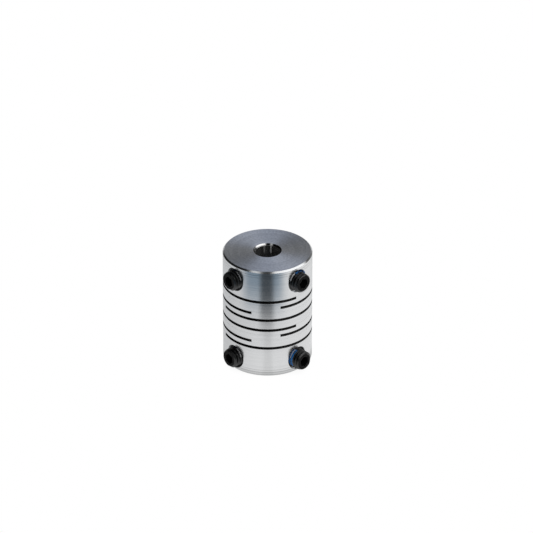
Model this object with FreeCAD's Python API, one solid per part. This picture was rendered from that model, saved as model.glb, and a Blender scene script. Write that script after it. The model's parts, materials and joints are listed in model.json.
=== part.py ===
"""Beam coupling, 18 mm diameter, for two 5 mm shafts.

A turned aluminium cylinder with a through bore is cut by eight parallel slits, in two groups
of four. Each slit leaves one web, and the webs are where the coupling bends. The cylinder is
divided at the middle of every web, so that each stretch between two webs is a rigid piece.
Four cup-point set screws, two in each hub, hold the shafts.

Frame: origin at the centre of the lower end face, +Z along the bore towards the upper hub.
An azimuth is measured from -Y towards +X. The set screws stand on -Y and on +X.
"""
import FreeCAD, Part
import math
import os

# Coupling body
BODY_R = 9.0
LENGTH = 24.1
BORE_R = 2.5
EDGE_CHAMFER = 0.3
BORE_CHAMFER = 0.35

# Slits, from the lower end up. A slit's saw path stops at a flat floor, beyond which is its web.
SLIT_WIDTH = 0.6
SLIT_SPAN_DEG = 240.0
LOWEST_SLIT_Z = 6.54
GROUP_HEIGHTS = (0.0, 6.46)
# Each slit of a group: its height in the group, one end's azimuth, and which way it runs from there
SLITS = ((0.0, -21.9, 1), (1.46, 26.7, -1), (2.78, 64.2, 1), (4.15, 87.1, -1))

# A web is divided by this thin cut, which its bending needs
WEB_CUT = 0.015

# Set screws: M4 x 5, hexagon socket, cup point
SCREW_R = 1.98
SCREW_LENGTH = 5.0
THREAD_PITCH = 0.7
THREAD_DEPTH = 0.42
CREST_FLAT = 0.09
ROOT_FLAT = 0.14
THREAD_SLOPE = (THREAD_PITCH - CREST_FLAT - ROOT_FLAT) / THREAD_DEPTH
HEAD_CHAMFER = 0.28
SOCKET_FLATS = 2.0
SOCKET_DEPTH = 2.2
POINT_CHAMFER = 0.6
CUP_R = 1.15
CUP_DEPTH = 0.6

# Tapped holes, plain at the thread's crest, with a countersunk mouth
SCREW_CLEARANCE = 0.05
LOWER_SCREW_Z = 2.94
UPPER_SCREW_Z = 20.85
MOUTH_R = 2.5
MOUTH_HALF_ANGLE_DEG = 30.0

# How far each screw's outer end stands from the coupling's axis, and its turn about its own axis
SCREWS = {
    "lower_front": {"azimuth": 0.0, "end_r": 10.5, "z": LOWER_SCREW_Z, "turn": 100.0},
    "lower_side": {"azimuth": 90.0, "end_r": 11.0, "z": LOWER_SCREW_Z, "turn": 158.0},
    "upper_front": {"azimuth": 0.0, "end_r": 10.5, "z": UPPER_SCREW_Z, "turn": 105.0},
    "upper_side": {"azimuth": 90.0, "end_r": 10.65, "z": UPPER_SCREW_Z, "turn": 45.0},
}

# Thread-locking patch: compound lying in the thread's valleys over a sector of the screw
PATCH_START = 1.2
PATCH_END = 3.5
PATCH_HALF_ANGLE_DEG = 60.0
PATCH_GAP = 0.015
PATCH_TOP_R = 1.93

OUT = "parts"
Z_AXIS = FreeCAD.Vector(0, 0, 1)
X_AXIS = FreeCAD.Vector(1, 0, 0)
ORIGIN = FreeCAD.Vector(0, 0, 0)


def slits():
    """The height of each slit's middle plane and the azimuth of its web's middle, from below."""
    found = []
    for group_height in GROUP_HEIGHTS:
        for height, start, way in SLITS:
            web = start + way * SLIT_SPAN_DEG / 2 + 180.0
            found.append((LOWEST_SLIT_Z + group_height + height, web))
    return found


def cone_frustum(r_low, r_high, z_low, z_high):
    return Part.makeCone(r_low, r_high, z_high - z_low, FreeCAD.Vector(0, 0, z_low), Z_AXIS)


def revolved(outline):
    """Turn a closed outline of radius and height pairs about +Z."""
    points = [FreeCAD.Vector(r, 0, z) for r, z in outline]
    face = Part.Face(Part.makePolygon(points + points[:1]))
    return face.revolve(ORIGIN, Z_AXIS, 360)


def turned_blank():
    """The cylinder with its bore and its four turned chamfers, before slits and holes."""
    inner = LENGTH - EDGE_CHAMFER
    outline = [
        (BORE_R, BORE_CHAMFER),
        (BORE_R + BORE_CHAMFER, 0.0),
        (BODY_R - EDGE_CHAMFER, 0.0),
        (BODY_R, EDGE_CHAMFER),
        (BODY_R, inner),
        (BODY_R - EDGE_CHAMFER, LENGTH),
        (BORE_R + BORE_CHAMFER, LENGTH),
        (BORE_R, LENGTH - BORE_CHAMFER),
    ]
    return revolved(outline)


def slit_cut(height, web):
    """The saw path of one slit: everything at its height short of the web's flat floor."""
    floor = BODY_R * math.cos(math.radians(180.0 - SLIT_SPAN_DEG / 2))
    reach = 2 * BODY_R
    path = Part.makeBox(2 * reach, reach + floor, SLIT_WIDTH)
    path.translate(FreeCAD.Vector(-reach, -floor, height - SLIT_WIDTH / 2))
    path.rotate(ORIGIN, Z_AXIS, web)
    return path


def radially(shape, azimuth, height):
    """Lay a shape built along +Z from the axis so that it points outwards at an azimuth."""
    shape = shape.copy()
    shape.rotate(ORIGIN, X_AXIS, 90)
    shape.rotate(ORIGIN, Z_AXIS, azimuth)
    shape.translate(FreeCAD.Vector(0, 0, height))
    return shape


def tapped_hole():
    """A screw's hole from the bore's axis outwards, along +Z."""
    hole_r = SCREW_R + SCREW_CLEARANCE
    drill = Part.makeCylinder(hole_r, 2 * BODY_R)
    flare = MOUTH_R - hole_r
    depth = flare / math.tan(math.radians(MOUTH_HALF_ANGLE_DEG))
    mouth = cone_frustum(hole_r, hole_r + 2 * flare, BODY_R - depth, BODY_R + depth)
    return drill.fuse(mouth)


def body_pieces():
    """The body's rigid stretches, from the lower hub to the upper hub."""
    blank = turned_blank()
    webs = slits()
    blank = blank.cut([slit_cut(height, web) for height, web in webs])
    hole = tapped_hole()
    blank = blank.cut([radially(hole, s["azimuth"], s["z"]) for s in SCREWS.values()])

    rings = len(webs) - 1
    middle = rings // 2
    names = ["lower_hub"]
    names += [f"lower_beam_{n + 1}" for n in range(middle)]
    names += ["centre_ring"]
    names += [f"upper_beam_{n + 1}" for n in range(middle)]
    names += ["upper_hub"]

    lows = [-1.0] + [height + WEB_CUT / 2 for height, _ in webs]
    highs = [height - WEB_CUT / 2 for height, _ in webs] + [LENGTH + 1.0]
    pieces = {}
    for name, low, high in zip(names, lows, highs):
        slab = Part.makeCylinder(2 * BODY_R, high - low, FreeCAD.Vector(0, 0, low))
        pieces[name] = blank.common(slab)
    return pieces


def helical_ridge(root_r, top_r, root_width, top_width, z_low, z_high):
    """A ridge wound round +Z at the thread's pitch, wide at root_width and at top_width."""
    turns_low = math.floor(z_low / THREAD_PITCH) * THREAD_PITCH
    helix = Part.makeHelix(THREAD_PITCH, z_high - turns_low, root_r)
    helix.translate(FreeCAD.Vector(0, 0, turns_low))
    corners = [
        (root_r, -root_width / 2),
        (top_r, -top_width / 2),
        (top_r, top_width / 2),
        (root_r, root_width / 2),
    ]
    points = [FreeCAD.Vector(r, 0, turns_low + z) for r, z in corners]
    profile = Part.makePolygon(points + points[:1])
    return Part.Wire(helix.Edges).makePipeShell([profile], True, True)


def set_screw():
    """One screw along +Z, its cup point at 0 and its socket end at SCREW_LENGTH."""
    root_r = SCREW_R - THREAD_DEPTH
    sunk = 0.05
    spare = 2 * THREAD_PITCH
    root_width = THREAD_PITCH - ROOT_FLAT + sunk * THREAD_SLOPE
    ridge = helical_ridge(
        root_r - sunk, SCREW_R, root_width, CREST_FLAT, -spare, SCREW_LENGTH + spare
    )
    core = Part.makeCylinder(root_r, SCREW_LENGTH + 2 * spare, FreeCAD.Vector(0, 0, -spare))
    rod = core.fuse(ridge)

    # Both ends are turned down by a cone that leaves a 45 degree chamfer
    outline = [
        (0.0, 0.0),
        (SCREW_R - POINT_CHAMFER, 0.0),
        (SCREW_R + sunk, POINT_CHAMFER + sunk),
        (SCREW_R + sunk, SCREW_LENGTH - HEAD_CHAMFER - sunk),
        (SCREW_R - HEAD_CHAMFER, SCREW_LENGTH),
        (0.0, SCREW_LENGTH),
    ]
    envelope = revolved(outline)
    cup = cone_frustum(CUP_R, 0.0, 0.0, CUP_DEPTH)
    return rod.common(envelope).cut([cup, hex_socket()])


def hex_socket():
    """The hexagonal recess, with the drill's cone below it."""
    corner_r = SOCKET_FLATS / math.sqrt(3.0)
    floor = SCREW_LENGTH - SOCKET_DEPTH
    corners = []
    for n in range(6):
        turn = math.radians(60.0 * n)
        corners.append(FreeCAD.Vector(corner_r * math.cos(turn), corner_r * math.sin(turn), floor))
    hexagon = Part.Face(Part.makePolygon(corners + corners[:1]))
    socket = hexagon.extrude(FreeCAD.Vector(0, 0, SOCKET_DEPTH + 1.0))
    drill_r = SOCKET_FLATS / 2
    drill_point = cone_frustum(0.0, drill_r, floor - drill_r / 2, floor)
    return socket.fuse(drill_point)


def thread_patch():
    """The compound in one side of the thread's valleys, as one solid for each turn it crosses."""
    root_r = SCREW_R - THREAD_DEPTH + PATCH_GAP
    root_width = ROOT_FLAT - PATCH_GAP
    top_width = root_width + THREAD_SLOPE * (PATCH_TOP_R - root_r)
    fill = helical_ridge(
        root_r, PATCH_TOP_R, root_width, top_width, -2 * THREAD_PITCH, SCREW_LENGTH
    )
    # The ridge of the screw stands at the helix's own height, and its valley half a pitch above
    fill.translate(FreeCAD.Vector(0, 0, THREAD_PITCH / 2))
    base = FreeCAD.Vector(0, 0, PATCH_START)
    span = 2 * PATCH_HALF_ANGLE_DEG
    sector = Part.makeCylinder(2 * SCREW_R, PATCH_END - PATCH_START, base, Z_AXIS, span)
    sector.rotate(ORIGIN, Z_AXIS, -PATCH_HALF_ANGLE_DEG)
    return fill.common(sector)


def screw_pieces():
    """Each set screw and its patch, turned about its own axis and laid in its hole."""
    screw = set_screw()
    patch = thread_patch()
    pieces = {}
    for name, place in SCREWS.items():
        for kind, shape in (("set_screw", screw), ("thread_patch", patch)):
            piece = shape.copy()
            piece.rotate(ORIGIN, Z_AXIS, place["turn"])
            piece.translate(FreeCAD.Vector(0, 0, place["end_r"] - SCREW_LENGTH))
            pieces[f"{name}_{kind}"] = radially(piece, place["azimuth"], place["z"])
    return pieces


os.makedirs(OUT, exist_ok=True)
for node, shape in {**body_pieces(), **screw_pieces()}.items():
    shape.exportStep(f"{OUT}/{node}.step")
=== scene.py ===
"""Looks of a beam coupling: turned aluminium, black oxide set screws and blue thread compound."""

import json
import math
from types import SimpleNamespace

import bmesh
import bpy
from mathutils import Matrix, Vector


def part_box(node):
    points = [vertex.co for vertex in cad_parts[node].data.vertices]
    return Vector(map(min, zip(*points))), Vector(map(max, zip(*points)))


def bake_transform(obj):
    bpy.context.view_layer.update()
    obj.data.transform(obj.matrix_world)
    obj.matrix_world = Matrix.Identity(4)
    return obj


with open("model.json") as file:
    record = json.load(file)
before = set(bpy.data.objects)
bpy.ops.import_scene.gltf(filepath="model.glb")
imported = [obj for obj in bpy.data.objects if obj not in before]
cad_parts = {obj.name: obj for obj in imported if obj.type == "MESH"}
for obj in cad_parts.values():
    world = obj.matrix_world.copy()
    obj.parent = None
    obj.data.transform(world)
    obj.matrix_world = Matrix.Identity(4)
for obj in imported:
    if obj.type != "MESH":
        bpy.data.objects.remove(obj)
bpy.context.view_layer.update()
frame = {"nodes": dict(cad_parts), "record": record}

MM = 0.001

# Camera, round the coupling's axis: azimuth 0 looks along +Y, and heights are from the lower end face
CAMERA_AZIMUTH = 47.5
CAMERA_ELEVATION = 30.44
CAMERA_DISTANCE = 794.6 * MM
CAMERA_LENS_MM = 265.8
TARGET_HEIGHT = 11.84 * MM
AIM_UP = 7.36 * MM
AIM_LEFT = 0.21 * MM

# The body's sizes, read from the frame
high_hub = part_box("upper_hub")
BODY_R = high_hub[1].y
BODY_TOP = high_hub[1].z
BORE_R = frame["record"]["mounts"][0]["dims"]["r_mm"] * MM
LOW_SCREW_Z = sum(corner.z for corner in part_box("lower_front_set_screw")) / 2
HIGH_SCREW_Z = sum(corner.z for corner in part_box("upper_front_set_screw")) / 2

# The materials work in mm
MIDDLE_MM = BODY_TOP / MM / 2
BORE_R_MM = BORE_R / MM
FOOT_R_MM = BODY_R / MM

# Stretches painted on the turned body, each a low, a high, a softness and a strength. The lines are
# turned lines by depth from the end face in mm; the rest, by azimuth in degrees, are painted highlights
# down the bore and on its bevel.
END_LINES = ((0.80, 0.92, 0.06, 0.5), (1.30, 1.42, 0.08, 0.25))
BORE_STREAK_HIGHLIGHTS = ((11, 19, 6, 0.5), (-19, -12, 4, 1.0))
# The bevel's stretches by azimuth are painted highlights; elsewhere the bevel is painted shade.
BEVEL_HIGHLIGHTS = ((6, 76, 10, 1.0), (-24, -12, 6, 0.6))

# Where each thread is coloured bright in a band near the hole's mouth: in mm from the coupling's axis,
# and for the screws of each side their axis and the direction across it of the band's side
BAND_REACH = (8.6, 8.95)
FRONT_SCREW = ((0, -1, 0), (0.66, 0, 0.75))
SIDE_SCREW = ((1, 0, 0), (0, -0.66, 0.75))

# Greys of the aluminium, and what its roughness and its grooving are on the side and on an end face
FINE_GREYS = (0.82, 0.88)
RING_GREY = 0.6
LINE_GREY = 0.2
HANDLED_GREY = 0.5
# The sawn slit faces are coloured near black: painted shade deep in the narrow slits, beside their
# rougher sawn finish.
SLIT_SHADE_GREY = 0.12
# The bore wall's greys are darkened as painted shade down the bore, varying at random between the two;
# the streak grey is a painted highlight.
BORE_SHADE_GREYS = (0.42, 0.58)
STREAK_HIGHLIGHT_GREY = 0.95
# The bevel's greys: painted shade, then painted highlight.
BEVEL_SHADE_AND_HIGHLIGHT_GREYS = (0.05, 0.9)
TURNED_ROUGHNESS = (0.20, 0.31)
TURNED_ANISOTROPY = (0.35, 0.85)
FINE_ROUGHNESS = 0.04
SAWN_ROUGHNESS = 0.15
RING_HEIGHT = 0.016 * MM

# Greys of the black oxide, and how strongly its flanks and its end reflect
BLACK_GREYS = (0.003, 0.011)
END_GREY = 0.002
WORN_GREY = 0.09
# The grey and metallic of the band on one side of each thread, by the hole's mouth, that is coloured
# bright.
BAND_GREY = 0.9
BAND_METALLIC = 0.3
BLACK_REFLECTION = (0.75, 0.08)
WORN_EDGE_R = 0.07 * MM

# The compound, and how much of each side's patches it covers thickly; the front patches' low cover
# colours them near-black navy, painted shade beside real thin spots
# Near-black navy: thin compound, and painted shade on the front patches.
THIN_AND_SHADED_BLUE = (0.004, 0.012, 0.045, 1)
THICK_BLUES = ((0.014, 0.13, 0.42, 1), (0.06, 0.34, 0.85, 1))
SIDE_COVER = 0.5
# The front patches get a low cover, which colours them as painted shade.
FRONT_SHADED_COVER = 0.12

# The floor's painted light in metal: its glow on the left and on the right, and its painted shadow at the
# coupling's foot
TABLE_LIGHT_GREYS = (0.60, 0.79)
FOOT_SHADOW_GREY = 0.45


# ---------------------------------------------------------------- node helpers

class Graph:
    """A node tree that is written as nested calls: each call makes one node and returns it."""

    def __init__(self, tree):
        self.tree = tree
        tree.nodes.clear()

    def node(self, kind, inputs=(), **settings):
        made = self.tree.nodes.new(kind)
        for name, value in settings.items():
            setattr(made, name, value)
        pairs = inputs.items() if isinstance(inputs, dict) else enumerate(inputs)
        for key, value in pairs:
            self.feed(made.inputs[key], value)
        return made

    def feed(self, socket, value):
        if isinstance(value, bpy.types.NodeSocket):
            self.tree.links.new(value, socket)
        elif value is not None:
            socket.default_value = value

    def math(self, operation, *values):
        return self.node("ShaderNodeMath", values, operation=operation).outputs[0]

    def vector(self, operation, *values):
        made = self.node("ShaderNodeVectorMath", values, operation=operation)
        scalar = operation in ("DOT_PRODUCT", "LENGTH", "DISTANCE")
        return made.outputs["Value" if scalar else "Vector"]

    def smooth(self, value, low, high, to_low=0.0, to_high=1.0):
        """Goes from to_low to to_high as value goes from low to high, with soft ends."""
        made = self.node(
            "ShaderNodeMapRange",
            (value, low, high, to_low, to_high),
            interpolation_type="SMOOTHSTEP",
        )
        return made.outputs[0]

    def mix_colour(self, share, a, b):
        made = self.node("ShaderNodeMix", data_type="RGBA", clamp_factor=True)
        self.feed(made.inputs[0], share)
        self.feed(made.inputs[6], a)
        self.feed(made.inputs[7], b)
        return made.outputs[2]

    def noise(self, vector, scale, detail=2.0, roughness=0.5):
        made = self.node(
            "ShaderNodeTexNoise",
            {"Vector": vector, "Scale": scale, "Detail": detail, "Roughness": roughness},
        )
        return made.outputs["Fac"]

    def product(self, first, *others):
        for value in others:
            first = self.math("MULTIPLY", first, value)
        return first

    def in_mm(self, position):
        return self.vector("MULTIPLY", position, (1 / MM,) * 3)

    def join(self, x, y, z):
        return self.node("ShaderNodeCombineXYZ", (x, y, z)).outputs[0]

    def split(self, vector):
        return self.node("ShaderNodeSeparateXYZ", (vector,)).outputs


def grey(value, blue=0.0):
    """A grey, a little bluer as blue rises, as linear colour."""
    return (value * (1 - blue), value, value * (1 + blue), 1.0)


def new_material(name):
    material = bpy.data.materials.new(name)
    material.use_nodes = True
    return material, Graph(material.node_tree)


def relative_direction(g, direction, heading=0.0):
    """Azimuth in degrees from a heading, itself counted from the camera's side, positive to its right."""
    turn = math.radians(CAMERA_AZIMUTH + heading)
    ahead = (math.sin(turn), -math.cos(turn), 0.0)
    beside = (math.cos(turn), math.sin(turn), 0.0)
    azimuth = g.math(
        "ARCTAN2",
        g.vector("DOT_PRODUCT", direction, beside),
        g.vector("DOT_PRODUCT", direction, ahead),
    )
    return g.math("DEGREES", azimuth)


def window(g, value, low, high, soft):
    """1 between low and high, fading to 0 over soft on both sides."""
    rise = g.smooth(value, low - soft / 2, low + soft / 2)
    fall = g.smooth(value, high - soft / 2, high + soft / 2, 1.0, 0.0)
    return g.product(rise, fall)


def windows(g, value, stretches):
    """The greatest of several windows, each a low, a high, a softness and a strength."""
    greatest = 0.0
    for low, high, soft, strength in stretches:
        here = g.product(window(g, value, low, high, soft), strength)
        greatest = g.math("MAXIMUM", greatest, here)
    return greatest


# ---------------------------------------------------------------- materials

def turned_places(g):
    """Where a point of the turned body lies, in mm, and which of its surfaces it is on."""
    coordinates = g.node("ShaderNodeTexCoord")
    at = g.in_mm(coordinates.outputs["Object"])
    x, y, z = g.split(at)
    flat = g.join(x, y, 0.0)
    radius = g.vector("LENGTH", flat)
    normal = coordinates.outputs["Normal"]
    upright = g.math("ABSOLUTE", g.split(normal)[2])
    from_middle = g.math("ABSOLUTE", g.math("SUBTRACT", z, MIDDLE_MM))
    level = g.smooth(upright, 0.85, 0.95)
    inside = g.smooth(from_middle, MIDDLE_MM - 0.2, MIDDLE_MM - 0.1, 1.0, 0.0)
    near_wall = g.smooth(radius, BORE_R_MM + 0.03, BORE_R_MM + 0.08, 1.0, 0.0)
    near_bevel = g.smooth(radius, BORE_R_MM + 0.4, BORE_R_MM + 0.5, 1.0, 0.0)
    slanted = g.math("SUBTRACT", 1.0, level)
    return SimpleNamespace(
        at=at,
        z=z,
        radius=radius,
        outward=g.vector("NORMALIZE", flat),
        normal=normal,
        upright=upright,
        from_middle=from_middle,
        level=level,
        sawn=g.product(level, inside),
        bored=g.product(near_wall, slanted),
        bevelled=g.product(near_bevel, slanted),
    )


def tool_marks(g, place):
    """Fine and broad marks along the tool's path, which is a height on the side, a radius on an end."""
    side = g.math("SUBTRACT", 1.0, place.upright)
    path = g.math("ADD", g.product(place.radius, place.upright), g.product(place.z, side))
    out_x, out_y, _ = g.split(place.outward)
    lap_x, lap_y = g.product(out_x, 0.6), g.product(out_y, 0.6)
    fine = g.noise(g.join(path, lap_x, lap_y), 9.0, 3.0, 0.6)
    rings = g.noise(g.join(path, g.product(out_x, 0.2), 5.0), 1.9, 2.0)
    return fine, rings


def turned_colour(g, place, fine, rings):
    """Bright, with rings, two lines inside each end and an end face mottled by handling."""
    ring_depth = g.product(g.smooth(rings, 0.38, 0.62), g.smooth(place.upright, 0.0, 1.0, 0.14, 0.5))
    depth = g.math("SUBTRACT", MIDDLE_MM, place.from_middle)
    handled = g.smooth(g.noise(place.at, 2.2, 4.0, 0.75), 0.42, 0.6, 0.0, 0.5)
    colour = g.mix_colour(fine, *(grey(value, 0.01) for value in FINE_GREYS))
    colour = g.mix_colour(ring_depth, colour, grey(RING_GREY, 0.02))
    colour = g.mix_colour(windows(g, depth, END_LINES), colour, grey(LINE_GREY))
    return g.mix_colour(g.product(handled, place.level), colour, grey(HANDLED_GREY, 0.02))


def bore_finish(g, place):
    """The bore wall's colour, darkened as painted shade and streaked with painted highlights, how dull it
    is, and its bevel's colour: a painted highlight on one side and painted shade elsewhere.
    """
    azimuth = relative_direction(g, place.outward, 180)
    near_end = g.smooth(place.from_middle, MIDDLE_MM - 2.6, MIDDLE_MM - 1.5)
    # Painted highlights: bright streaks down the bore near each end, placed by azimuth from the camera.
    highlight_streaks = g.product(windows(g, azimuth, BORE_STREAK_HIGHLIGHTS), near_end)
    reamed = g.smooth(g.noise(place.outward, 2.6, 1.0), 0.4, 0.65)
    # Painted shade: the bore wall is coloured darker than the outside.
    wall = g.mix_colour(reamed, *map(grey, BORE_SHADE_GREYS))
    wall = g.mix_colour(highlight_streaks, wall, grey(STREAK_HIGHLIGHT_GREY))
    # The bore is made partly diffuse, and fully so in the painted highlight streaks, so that they scatter
    # the light from the opening.
    dull = g.math("MAXIMUM", highlight_streaks, 0.12)
    # Painted highlight on the bevel's outer part, on the sides given by azimuth from the camera; the rest
    # of the bevel is painted shade.
    outer = g.smooth(place.radius, BORE_R_MM + 0.06, BORE_R_MM + 0.16)
    bevel_highlight = g.product(windows(g, azimuth, BEVEL_HIGHLIGHTS), outer)
    return wall, dull, g.mix_colour(bevel_highlight, *map(grey, BEVEL_SHADE_AND_HIGHLIGHT_GREYS))


def turned_aluminium():
    """Bright aluminium with circular tool marks, with painted shade in the sawn slits and down the bore,
    and painted highlights in the bore and on its bevel.
    """
    material, g = new_material("turned_aluminium")
    place = turned_places(g)
    fine, rings = tool_marks(g, place)
    wall, dull, bevel = bore_finish(g, place)
    # Painted shade: the sawn slit faces are coloured near black.
    colour = g.mix_colour(place.sawn, turned_colour(g, place, fine, rings), grey(SLIT_SHADE_GREY))
    colour = g.mix_colour(place.bevelled, colour, bevel)
    colour = g.mix_colour(place.bored, colour, wall)
    roughness = g.math(
        "ADD",
        g.smooth(place.level, 0.0, 1.0, *TURNED_ROUGHNESS),
        g.smooth(fine, 0.3, 0.7, 0.0, FINE_ROUGHNESS),
    )
    roughness = g.math("ADD", roughness, g.product(place.sawn, SAWN_ROUGHNESS))
    bump = g.node("ShaderNodeBump", {"Strength": 0.5, "Distance": RING_HEIGHT, "Height": rings})
    lap = g.vector("CROSS_PRODUCT", (0, 0, 1), place.outward)
    shader = g.node(
        "ShaderNodeBsdfPrincipled",
        {
            "Base Color": colour,
            "Metallic": g.math("SUBTRACT", 1.0, g.product(place.bored, dull)),
            "Roughness": roughness,
            "Anisotropic": g.smooth(place.level, 0.0, 1.0, *TURNED_ANISOTROPY),
            "Tangent": g.vector("CROSS_PRODUCT", place.normal, lap),
            "Normal": bump.outputs[0],
        },
    )
    g.node("ShaderNodeOutputMaterial", (shader.outputs[0],))
    return material


def bright_band_of_thread(g, at, axis, side):
    """1 on a short stretch of thread, on one side, near the hole's mouth, which is coloured bright."""
    x, y, z = g.split(at)
    low = g.math("LESS_THAN", z, MIDDLE_MM)
    middle = g.smooth(low, 0.0, 1.0, HIGH_SCREW_Z / MM, LOW_SCREW_Z / MM)
    across = g.join(
        g.product(x, abs(axis[1])), g.product(y, abs(axis[0])), g.math("SUBTRACT", z, middle)
    )
    facing = g.vector("DOT_PRODUCT", g.vector("NORMALIZE", across), side)
    band = window(g, g.vector("DOT_PRODUCT", at, axis), *BAND_REACH, 0.1)
    crest = g.smooth(g.vector("LENGTH", across), 1.7, 1.85)
    return g.product(band, g.smooth(facing, 0.8, 0.93), crest)


def black_oxide(name, axis, band_side):
    """Blackened steel, darker and barely reflecting on the end across its axis, and worn thin along its
    edges.
    """
    material, g = new_material(name)
    place = g.node("ShaderNodeTexCoord")
    at = g.in_mm(place.outputs["Object"])
    end = g.smooth(g.vector("DOT_PRODUCT", place.outputs["Normal"], axis), 0.85, 0.95)
    # The thread is coloured bright in a band on one side near the hole's mouth.
    bright_share = bright_band_of_thread(g, at, axis, band_side)
    speckle = g.noise(at, 7.0, 4.0, 0.65)
    cloud = g.noise(at, 0.9, 2.0)
    rounded = g.node("ShaderNodeBevel", {"Radius": WORN_EDGE_R}, samples=6).outputs[0]
    flat = g.node("ShaderNodeNewGeometry").outputs["Normal"]
    edge = g.smooth(g.vector("DOT_PRODUCT", rounded, flat), 0.80, 0.97, 1.0, 0.0)
    worn = g.product(edge, g.smooth(speckle, 0.35, 0.6, 0.25, 1.0))
    black = g.mix_colour(speckle, grey(BLACK_GREYS[0], 0.05), grey(BLACK_GREYS[1], 0.08))
    black = g.mix_colour(end, black, grey(END_GREY))
    colour = g.mix_colour(worn, black, grey(WORN_GREY, 0.03))
    colour = g.mix_colour(bright_share, colour, grey(BAND_GREY))
    roughness = g.smooth(cloud, 0.3, 0.7, 0.26, 0.40)
    bump = g.node(
        "ShaderNodeBump", {"Strength": 0.35, "Distance": 0.01 * MM, "Height": speckle}
    )
    shader = g.node(
        "ShaderNodeBsdfPrincipled",
        {
            "Base Color": colour,
            "Metallic": g.product(bright_share, BAND_METALLIC),
            "Roughness": roughness,
            "IOR": 1.5,
            "Specular IOR Level": g.smooth(end, 0.0, 1.0, *BLACK_REFLECTION),
            "Normal": bump.outputs[0],
        },
    )
    g.node("ShaderNodeOutputMaterial", (shader.outputs[0],))
    return material


def thread_compound(name, cover, axis, band_side):
    """Dried blue thread-locking compound: grainy and uneven, near black where its cover is thin, and a
    low cover paints it in shade.
    """
    material, g = new_material(name)
    at = g.in_mm(g.node("ShaderNodeTexCoord").outputs["Object"])
    grain = g.noise(at, 3.2, 4.0, 0.7)
    thick = g.smooth(g.noise(at, 1.3, 2.0), 0.75 - cover, 1.05 - cover)
    colour = g.mix_colour(thick, THIN_AND_SHADED_BLUE, g.mix_colour(grain, *THICK_BLUES))
    # The bright band on the thread, weakened as the compound's cover grows.
    bright_share = g.product(bright_band_of_thread(g, at, axis, band_side), 1.0 - 2 * cover)
    colour = g.mix_colour(bright_share, colour, grey(BAND_GREY))
    bump = g.node("ShaderNodeBump", {"Strength": 0.6, "Distance": 0.05 * MM, "Height": grain})
    shader = g.node(
        "ShaderNodeBsdfPrincipled",
        {
            "Base Color": colour,
            "Metallic": g.product(bright_share, BAND_METALLIC),
            "Roughness": 0.45,
            "IOR": 1.4,
            "Normal": bump.outputs[0],
        },
    )
    g.node("ShaderNodeOutputMaterial", (shader.outputs[0],))
    return material


# Painted shade on the floor in front, as metal sees it: from and to which azimuth and how soft, in
# degrees, the distances over which it sets in, in mm, and its share and colour
FLOOR_PAINTED_SHADE = (
    (-7, 8, 8, 0.0, 1.0, 0.12, grey(0.0)),
    (-58, 37, 34, 32.0, 44.0, 1.0, grey(0.215, 0.30)),
    (-17, 14, 14, 24.0, 38.5, 1.0, grey(0.035, 0.3)),
)


def floor_in_metal(g, azimuth, distance):
    """The floor's glow in reflections, painted light and shade: bright on the right, a painted shadow at
    the foot and painted shade in front.
    """
    lit = g.product(g.smooth(azimuth, -112, 2), g.smooth(azimuth, 120, 180, 1.0, 0.0))
    colour = g.mix_colour(lit, grey(TABLE_LIGHT_GREYS[0], 0.01), grey(TABLE_LIGHT_GREYS[1]))
    # Painted shadow round the coupling's foot.
    clear_of_foot = g.smooth(distance, FOOT_R_MM - 0.5, FOOT_R_MM + 2.5)
    colour = g.mix_colour(clear_of_foot, grey(FOOT_SHADOW_GREY), colour)
    # Painted shade in front, where the camera stands.
    for low, high, soft, near, far, share, dark in FLOOR_PAINTED_SHADE:
        here = g.product(window(g, azimuth, low, high, soft), g.smooth(distance, near, far), share)
        colour = g.mix_colour(here, colour, dark)
    return colour


def pale_floor_material():
    """A pale table that glows, not lit. Metal sees it bright near the coupling and dark in front, where
    the camera is, as painted light and shade in its glow.
    """
    material, g = new_material("pale_floor")
    at = g.in_mm(g.node("ShaderNodeNewGeometry").outputs["Position"])
    flat = g.vector("MULTIPLY", at, (1, 1, 0))
    azimuth = relative_direction(g, g.vector("NORMALIZE", flat))
    seen_in_metal = floor_in_metal(g, azimuth, g.vector("LENGTH", flat))
    # Painted contact shadow: ambient occlusion darkens the glowing table round the coupling's foot as the
    # camera sees it.
    occlusion = g.node("ShaderNodeAmbientOcclusion", {"Distance": 4 * MM}, samples=8)
    open_share = g.smooth(occlusion.outputs["AO"], 0.1, 0.6)
    seen_direct = g.mix_colour(open_share, grey(0.93), grey(1.0))
    camera_ray = g.node("ShaderNodeLightPath").outputs["Is Camera Ray"]
    colour = g.mix_colour(camera_ray, seen_in_metal, seen_direct)
    shader = g.node("ShaderNodeEmission", {"Color": colour, "Strength": 1.0})
    g.node("ShaderNodeOutputMaterial", (shader.outputs[0],))
    return material


# ---------------------------------------------------------------- surroundings

# Soft light panels: heading from the camera's side, half width, elevation range, softness, all in
# degrees, then strength and how blue
PANELS = (
    (66, 48, (24, 62), 10, 1.3, 0.0),
    (-40, 16, (46, 66), 12, 0.8, 0.02),
)
# The room: dark overhead and on the left, a grey wall behind the coupling and a darker one in front
ROOM = 0.012
WALLS = (
    (173, 42, (-20, 36), 24, 0.18, 0.0),
    (40, 91, (-20, 36), 24, 0.08, 0.0),
)

# A softbox overhead and behind, which gives the end face its bright sectors
SOFTBOX_HEADING = 163
SOFTBOX_ELEVATION = 60
SOFTBOX_DISTANCE = 1.2
SOFTBOX_SIZE = (0.85, 1.04)
SOFTBOX_WATTS = 1.9
SOFTBOX_COLOUR = (0.69, 0.78, 1.0)
FLOOR_REACH = 1.5


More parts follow.
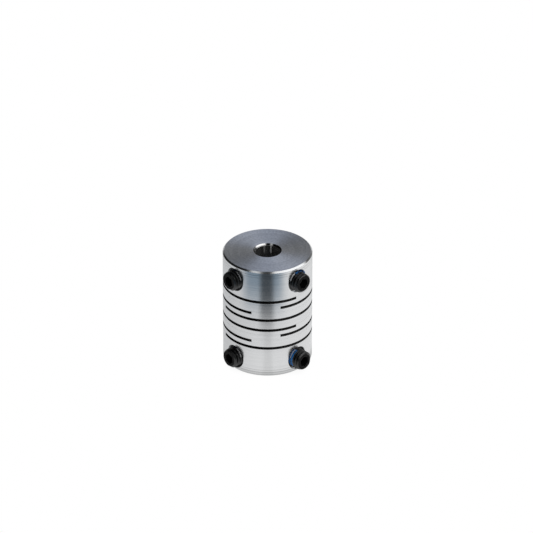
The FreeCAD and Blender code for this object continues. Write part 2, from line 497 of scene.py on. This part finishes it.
def studio_world():
    """A dark room with soft light panels. The camera itself sees only a pale backdrop."""
    world = bpy.data.worlds.new("studio")
    world.use_nodes = True
    bpy.context.scene.world = world
    g = Graph(world.node_tree)
    direction = g.node("ShaderNodeTexCoord").outputs["Generated"]
    elevation = g.math("DEGREES", g.math("ARCSINE", g.split(direction)[2]))
    light = grey(ROOM)[:3]
    for heading, half, up, soft, strength, blue in PANELS + WALLS:
        azimuth = relative_direction(g, direction, heading)
        panel = g.product(window(g, azimuth, -half, half, soft), window(g, elevation, *up, soft))
        tint = tuple(strength * c for c in grey(1.0, blue)[:3])
        light = g.vector("ADD", light, g.vector("SCALE", tint, None, None, panel))
    camera_ray = g.node("ShaderNodeLightPath").outputs["Is Camera Ray"]
    colour = g.mix_colour(camera_ray, light, grey(1.0))
    background = g.node("ShaderNodeBackground", {"Color": colour, "Strength": 1.0})
    g.node("ShaderNodeOutputWorld", (background.outputs[0],))


def direction_to(azimuth, elevation):
    turn, lift = math.radians(azimuth), math.radians(elevation)
    level = math.cos(lift)
    return Vector((math.sin(turn) * level, -math.cos(turn) * level, math.sin(lift)))


def softbox():
    towards = direction_to(CAMERA_AZIMUTH + SOFTBOX_HEADING, SOFTBOX_ELEVATION)
    light = bpy.data.lights.new("softbox", "AREA")
    light.shape = "RECTANGLE"
    light.size, light.size_y = SOFTBOX_SIZE
    light.energy = SOFTBOX_WATTS
    light.color = SOFTBOX_COLOUR
    made = bpy.data.objects.new("softbox", light)
    made.location = towards * SOFTBOX_DISTANCE
    made.rotation_euler = towards.to_track_quat("Z", "Y").to_euler()
    made.visible_camera = False
    bpy.context.scene.collection.objects.link(made)


def floor():
    mesh = bpy.data.meshes.new("floor")
    corners = ((-1, -1), (1, -1), (1, 1), (-1, 1))
    mesh.from_pydata([(x * FLOOR_REACH, y * FLOOR_REACH, 0.0) for x, y in corners], [], [(0, 1, 2, 3)])
    table = bpy.data.objects.new("floor", mesh)
    bpy.context.scene.collection.objects.link(table)
    mesh.materials.append(pale_floor_material())


def camera():
    towards = direction_to(CAMERA_AZIMUTH, CAMERA_ELEVATION)
    right = direction_to(CAMERA_AZIMUTH + 90, 0)
    up = towards.cross(right)
    target = Vector((0, 0, TARGET_HEIGHT))
    aim = target + up * AIM_UP - right * AIM_LEFT
    data = bpy.data.cameras.new("camera")
    data.lens = CAMERA_LENS_MM
    data.clip_start = 0.01
    data.clip_end = 10.0
    made = bpy.data.objects.new("camera", data)
    made.location = target + towards * CAMERA_DISTANCE
    made.rotation_euler = (aim - made.location).to_track_quat("-Z", "Y").to_euler()
    bpy.context.scene.collection.objects.link(made)
    bpy.context.scene.camera = made


# ---------------------------------------------------------------- the coupling

SLIT_WIDTH = 0.6 * MM
WEB_SKIN = 0.004 * MM
WEB_ARC_STEPS = 64


def web_outline(radius, depth, facing):
    """The web from above: an arc of the body's side, whose ends the slit's flat floor joins."""
    half = math.acos(depth / radius)
    angles = [facing + half * (2 * n / WEB_ARC_STEPS - 1) for n in range(WEB_ARC_STEPS + 1)]
    return [(radius * math.cos(angle), radius * math.sin(angle)) for angle in angles]


def web_mesh(name, outline, levels):
    """A closed prism over the outline, with a ring of vertices at each level and sharp rims."""
    made = bmesh.new()
    rows = [[made.verts.new((x, y, z)) for x, y in outline] for z in levels]
    for low, high in zip(rows, rows[1:]):
        for n in range(len(outline)):
            after = (n + 1) % len(outline)
            made.faces.new((low[n], low[after], high[after], high[n])).smooth = after != 0
    made.faces.new(rows[-1])
    made.faces.new(rows[0][::-1])
    arc_ends = {row[n] for row in rows for n in (0, -1)}
    rims = (set(rows[0]), set(rows[-1]))
    for edge in made.edges:
        ends = set(edge.verts)
        edge.smooth = not (ends & arc_ends or any(ends <= rim for rim in rims))
    mesh = bpy.data.meshes.new(name)
    made.to_mesh(mesh)
    made.free()
    return mesh


def web_piece(number, joint, material):
    """The web that a slit leaves, in one closed piece over the thin cut between two rigid stretches."""
    middle = Vector(joint["pos_m"])
    reach = middle.xy.length
    outline = web_outline(
        BODY_R + WEB_SKIN, 2 * reach - BODY_R - WEB_SKIN, math.atan2(middle.y, middle.x)
    )
    rise = Vector((0, 0, SLIT_WIDTH / 2 + WEB_SKIN))
    levels = [middle.z + rise.z * share for share in (-1, -1 / 3, 1 / 3, 1)]
    name = f"slit_{number}_web"
    mesh = web_mesh(name, outline, levels)
    mesh.materials.append(material)
    piece = bpy.data.objects.new(name, mesh)
    bpy.context.scene.collection.objects.link(piece)
    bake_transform(piece)


materials = {
    "body": turned_aluminium(),
    "side_screw": black_oxide("black_oxide_side", *SIDE_SCREW),
    "front_screw": black_oxide("black_oxide_front", *FRONT_SCREW),
    "side_patch": thread_compound("thread_compound", SIDE_COVER, *SIDE_SCREW),
    # The front screws' compound with a low cover: painted shade on those patches.
    "front_patch": thread_compound("shaded_thread_compound", FRONT_SHADED_COVER, *FRONT_SCREW),
}


def finish_of(node):
    part = node.split("_")[-1]
    if part not in ("screw", "patch"):
        return "body"
    return "side_" + part if "side" in node else "front_" + part


for name, shape in frame["nodes"].items():
    shape.material_slots[0].material = materials[finish_of(name)]

flexures = [j for j in frame["record"]["behaviour"]["joints"] if j["type"] == "hinge"]
for number, joint in enumerate(flexures, 1):
    web_piece(number, joint, materials["body"])

softbox()
studio_world()
floor()
camera()
bpy.context.scene.view_settings.view_transform = "Standard"
